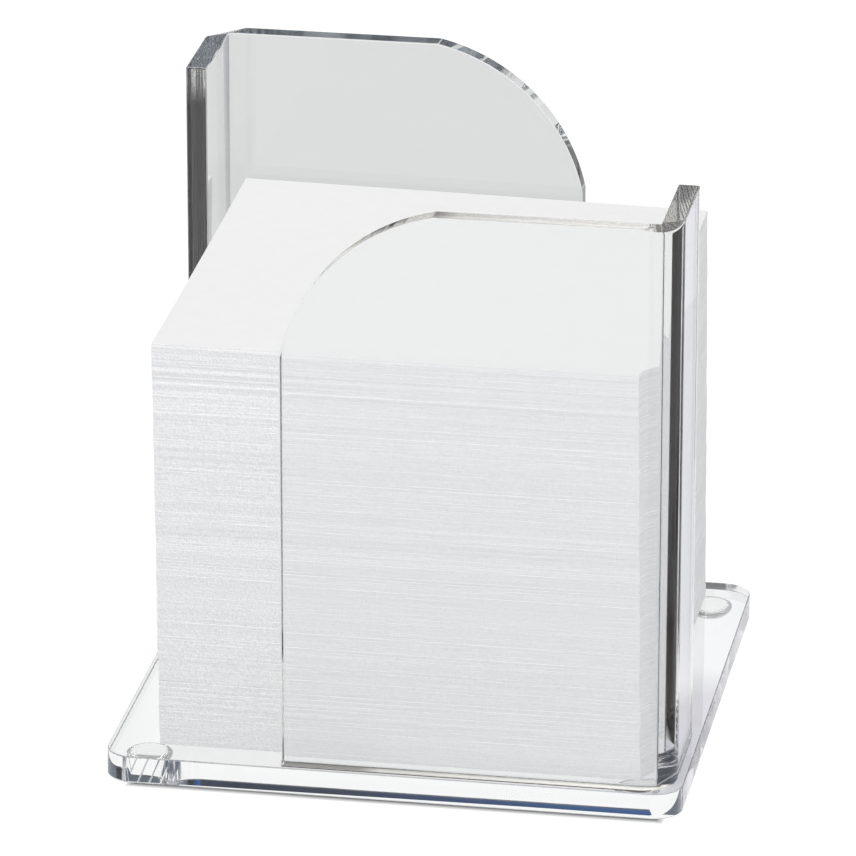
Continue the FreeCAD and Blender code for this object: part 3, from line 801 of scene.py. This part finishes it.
# The room by direction. High up it is navy with a blue part, and below that pale, both near
# black to the right. It is slate below a line that rises to both sides, pale grey at the
# front left and dark overhead.
towards_front_left = add_node(tree, "ShaderNodeVectorMath", {
    0: way.outputs["Generated"], 1: (-0.6, -0.8, 0.0)}, operation="DOT_PRODUCT")
front_share = add_node(tree, "ShaderNodeMapRange", {
    "Value": towards_front_left.outputs["Value"], "From Min": 0.0, "From Max": 0.8})
blue_share = add_node(tree, "ShaderNodeMapRange", {
    "Value": apart.outputs["X"], "From Min": -0.165, "From Max": -0.125})
dark_side = add_node(tree, "ShaderNodeMixRGB", {
    "Fac": blue_share.outputs[0], "Color1": linear("#1E2C40"), "Color2": linear("#0E4A84")})
to_right = add_node(tree, "ShaderNodeMapRange", {
    "Value": apart.outputs["X"], "From Min": -0.08, "From Max": 0.0})
dark_right = add_node(tree, "ShaderNodeMixRGB", {
    "Fac": to_right.outputs[0], "Color1": dark_side.outputs["Color"],
    "Color2": linear("#10141E")})
pale_share = add_node(tree, "ShaderNodeMapRange", {
    "Value": apart.outputs["X"], "From Min": -0.2, "From Max": -0.188})
pale_band = add_node(tree, "ShaderNodeMixRGB", {
    "Fac": pale_share.outputs[0], "Color1": linear("#D2D2D4"), "Color2": linear("#FDFDFF")})
pale_ends = add_node(tree, "ShaderNodeMixRGB", {
    "Fac": to_right.outputs[0], "Color1": pale_band.outputs["Color"],
    "Color2": linear("#10141E")})
height = add_node(tree, "ShaderNodeMapRange", {
    "Value": apart.outputs["Z"], "From Min": 0.425, "From Max": 0.455})
dark_back = add_node(tree, "ShaderNodeMixRGB", {
    "Fac": height.outputs[0], "Color1": pale_ends.outputs["Color"],
    "Color2": dark_right.outputs["Color"]})
sloped = add_node(tree, "ShaderNodeMath", {
    0: gap_to(tree, apart.outputs["X"], -0.15), 1: -0.5, 2: apart.outputs["Z"]},
    operation="MULTIPLY_ADD")
low_down = add_node(tree, "ShaderNodeMapRange", {
    "Value": sloped.outputs[0], "From Min": 0.337, "From Max": 0.327})
overhead = add_node(tree, "ShaderNodeMapRange", {
    "Value": apart.outputs["Z"], "From Min": 0.8, "From Max": 0.88})
slate_low = add_node(tree, "ShaderNodeMixRGB", {
    "Fac": low_down.outputs[0], "Color1": dark_back.outputs["Color"],
    "Color2": linear("#59626D")})
all_sides = add_node(tree, "ShaderNodeMixRGB", {
    "Fac": front_share.outputs[0], "Color1": slate_low.outputs["Color"],
    "Color2": linear("#BDB8BE")})
room_colour = add_node(tree, "ShaderNodeMixRGB", {
    "Fac": overhead.outputs[0], "Color1": all_sides.outputs["Color"],
    "Color2": linear("#34383E")})
# The paper is lit from a wide pale window, high at the front right.
towards_window = add_node(tree, "ShaderNodeVectorMath", {
    0: way.outputs["Generated"], 1: (0.53, -0.544, 0.651)}, operation="DOT_PRODUCT")
window_share = add_node(tree, "ShaderNodeMapRange", {
    "Value": towards_window.outputs["Value"], "From Min": 0.40, "From Max": 0.55})
room_fill = add_node(tree, "ShaderNodeBackground", {
    "Color": window_share.outputs[0], "Strength": 1.6})
room_seen = add_node(tree, "ShaderNodeBackground", {"Color": room_colour.outputs["Color"]})
white_seen = add_node(tree, "ShaderNodeBackground", {"Color": (1, 1, 1, 1)})
bent = add_node(tree, "ShaderNodeMath", {
    0: path.outputs["Is Glossy Ray"], 1: path.outputs["Is Transmission Ray"]},
    operation="MAXIMUM")
mix_bent = add_node(tree, "ShaderNodeMixShader", {
    0: bent.outputs[0], 1: room_fill.outputs[0], 2: room_seen.outputs[0]})
mix_eye = add_node(tree, "ShaderNodeMixShader", {
    0: path.outputs["Is Camera Ray"], 1: mix_bent.outputs[0], 2: white_seen.outputs[0]})
add_node(tree, "ShaderNodeOutputWorld", {"Surface": mix_eye.outputs[0]})


def soft_lamp(name, place, target, width, depth, watts):
    """A rectangular softbox that faces its target."""
    data = bpy.data.lights.new(name, "AREA")
    data.shape = "RECTANGLE"
    data.size = width
    data.size_y = depth
    data.energy = watts
    lamp = bpy.data.objects.new(name, data)
    bpy.context.scene.collection.objects.link(lamp)
    lamp.location = place
    lamp.rotation_euler = (Vector(target) - Vector(place)).to_track_quat("-Z", "Y").to_euler()


soft_lamp("overhead_softbox", (-0.1, -0.5, 0.8), (0, 0, 0.05), width=0.7, depth=0.7, watts=1.45)

# A long lens from the front, a little to the right and above, with a slight roll.
AZIMUTH = math.radians(9.751)
ELEVATION = math.radians(20.998)
ROLL = math.radians(0.05)
DISTANCE = 1.4167
LENS_PIXELS = 7529.2
FRAME_PIXELS = 856
SENSOR_MM = 36.0
TARGET = Vector((-0.00166, 0.0, 0.05606))
camera_data = bpy.data.cameras.new("camera")
camera_data.sensor_width = SENSOR_MM
camera_data.lens = LENS_PIXELS / FRAME_PIXELS * SENSOR_MM
camera = bpy.data.objects.new("camera", camera_data)
bpy.context.scene.collection.objects.link(camera)
backward = Vector((math.sin(AZIMUTH) * math.cos(ELEVATION),
                   -math.cos(AZIMUTH) * math.cos(ELEVATION), math.sin(ELEVATION)))
level = Vector((math.cos(AZIMUTH), math.sin(AZIMUTH), 0))
upward = backward.cross(level)
right = level * math.cos(ROLL) + upward * math.sin(ROLL)
up = upward * math.cos(ROLL) - level * math.sin(ROLL)
turned_frame = Matrix((right, up, backward)).transposed()
camera.matrix_world = Matrix.Translation(TARGET + backward * DISTANCE) @ turned_frame.to_4x4()
bpy.context.scene.camera = camera

scene = bpy.context.scene
scene.view_settings.view_transform = "Standard"
scene.cycles.max_bounces = 64
scene.cycles.transmission_bounces = 64
scene.cycles.glossy_bounces = 64
scene.cycles.transparent_max_bounces = 24
